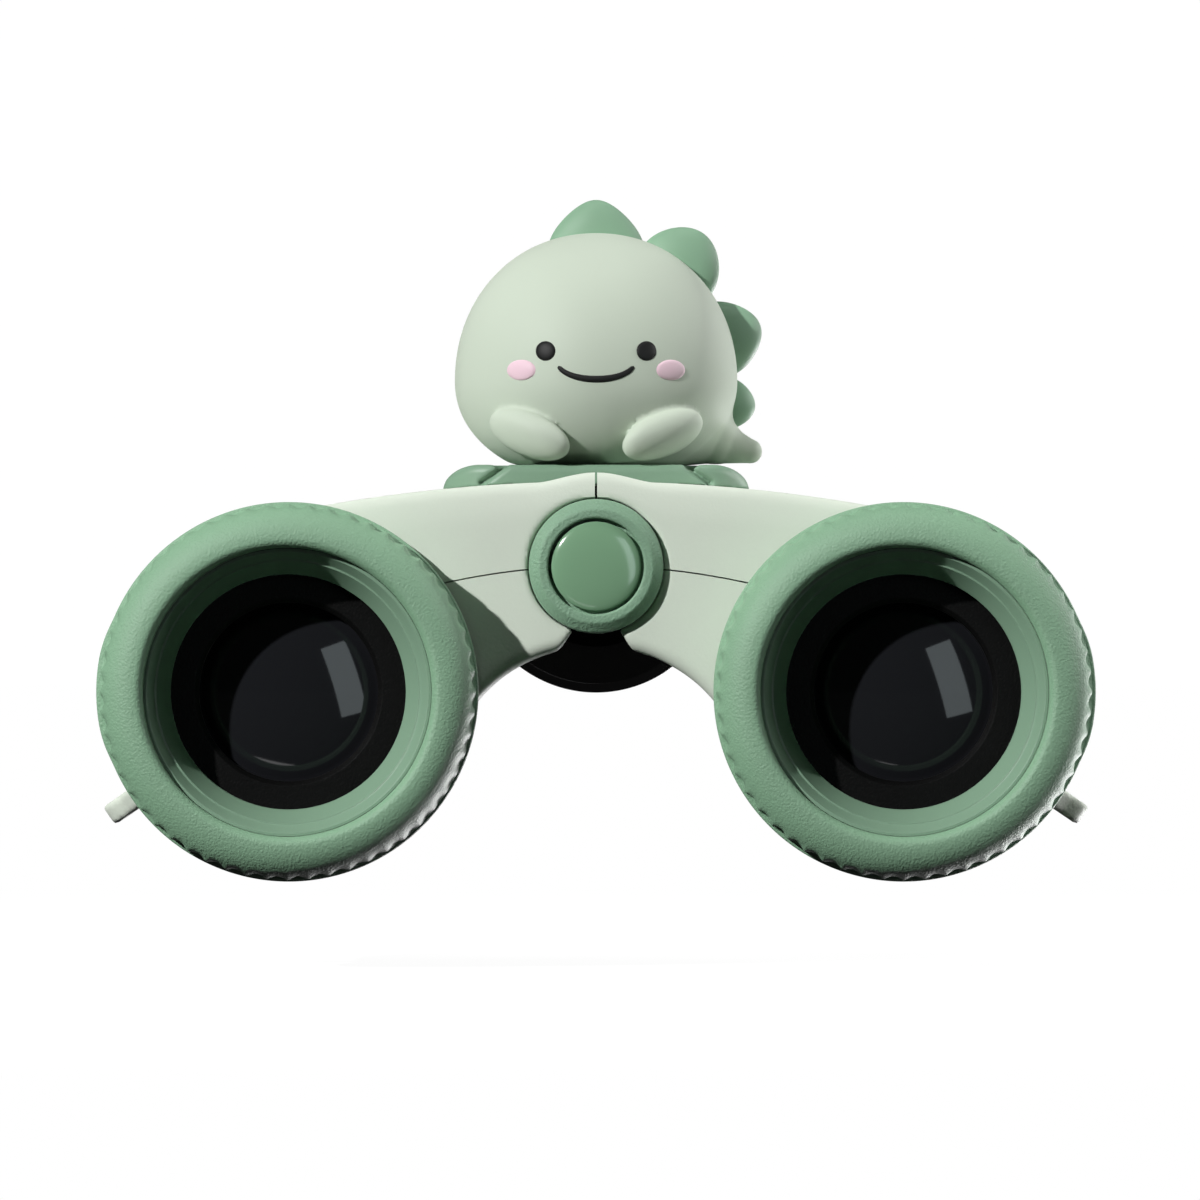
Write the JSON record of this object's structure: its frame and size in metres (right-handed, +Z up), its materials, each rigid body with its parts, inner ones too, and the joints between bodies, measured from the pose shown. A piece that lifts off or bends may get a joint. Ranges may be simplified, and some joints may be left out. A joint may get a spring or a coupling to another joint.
{
  "type": "toy binoculars",
  "caption": "Folding toy binoculars with fluted rubber rings, a centre hinge, a focus wheel that slides both eyepieces, and a plump dinosaur figure on the bridge.",
  "frame": {"origin": "centre of the box round the open binoculars, on the surface they stand on", "axes": "+X to the right seen from the objectives, +Y from the objectives to the eyecups, +Z up"},
  "size_m": [0.1106, 0.0888, 0.076],
  "materials": {
    "shell_plastic": "fine moulded grain",
    "grip_rubber": "pebbled soft rubber",
    "sage_plastic": "satin",
    "gloss_green": "polished",
    "black_plastic": "satin",
    "lens_clear": "polished",
    "steel": "plain",
    "nylon": "plain",
    "figure_pale": "satin",
    "figure_green": "satin",
    "figure_black": "enamel",
    "figure_blush": "enamel"
  },
  "bodies": {
    "centre": {"centre_frame": "black_plastic", "hinge_axle": "steel", "hinge_washers": "nylon", "hinge_cap": "sage_plastic", "hinge_screw": "steel", "cap_badge": "gloss_green", "saddle": "sage_plastic", "dino_body": "figure_pale", "dino_left_paw": "figure_pale", "dino_right_paw": "figure_pale", "dino_head_plate": "figure_green", "dino_neck_plate": "figure_green", "dino_back_plate": "figure_green", "dino_tail_plate": "figure_green", "dino_eyes": "figure_black", "dino_smile": "figure_black", "dino_cheeks": "figure_blush", "dino_screws": "steel"},
    "left_half": {"left_upper_shell": "shell_plastic", "left_lower_shell": "shell_plastic", "left_objective_cell": "shell_plastic", "left_objective_ring": "grip_rubber", "left_bezel": "sage_plastic", "left_lens_retainer": "black_plastic", "left_objective_lens": "lens_clear", "left_optical_tube": "black_plastic", "left_shell_screws": "steel"},
    "left_eyepiece": {"left_eyepiece_tube": "black_plastic", "left_eye_lens": "lens_clear", "left_eye_lens_ring": "black_plastic", "left_eyecup": "grip_rubber", "left_focus_arm": "black_plastic"},
    "right_half": {"right_upper_shell": "shell_plastic", "right_lower_shell": "shell_plastic", "right_objective_cell": "shell_plastic", "right_objective_ring": "grip_rubber", "right_bezel": "sage_plastic", "right_lens_retainer": "black_plastic", "right_objective_lens": "lens_clear", "right_optical_tube": "black_plastic", "right_shell_screws": "steel"},
    "right_eyepiece": {"right_eyepiece_tube": "black_plastic", "right_eye_lens": "lens_clear", "right_eye_lens_ring": "black_plastic", "right_eyecup": "grip_rubber", "right_focus_arm": "black_plastic"},
    "wheel": {"focus_wheel": "black_plastic", "wheel_clip": "steel"},
    "spindle": {"focus_spindle": "steel", "spindle_nut": "black_plastic"}
  },
  "joints": [
    {"name": "left_fold", "type": "hinge", "parent": "centre", "child": "left_half", "pos_m": [0, 0, 0.0349], "axis": [0, -1, 0], "range_deg": [0, 17]},
    {"name": "right_fold", "type": "hinge", "parent": "centre", "child": "right_half", "pos_m": [0, 0, 0.0349], "axis": [0, 1, 0], "range_deg": [0, 17]},
    {"name": "focus_turn", "type": "hinge", "parent": "centre", "child": "wheel", "pos_m": [0, 0, 0.0349], "axis": [0, 1, 0], "range_deg": [-150, 150]},
    {"name": "spindle_slide", "type": "slide", "parent": "centre", "child": "spindle", "axis": [0, 1, 0], "range_m": [-0.0025, 0.0025]},
    {"name": "left_focus", "type": "slide", "parent": "left_half", "child": "left_eyepiece", "axis": [0, 1, 0], "range_m": [-0.0025, 0.0025]},
    {"name": "right_focus", "type": "slide", "parent": "right_half", "child": "right_eyepiece", "axis": [0, 1, 0], "range_m": [-0.0025, 0.0025]}
  ],
  "couplings": [
    {"joint": "focus_turn", "follows": "spindle_slide", "rad_per_m": 1047},
    {"joint": "left_focus", "follows": "spindle_slide", "ratio": 1},
    {"joint": "right_focus", "follows": "spindle_slide", "ratio": 1}
  ]
}
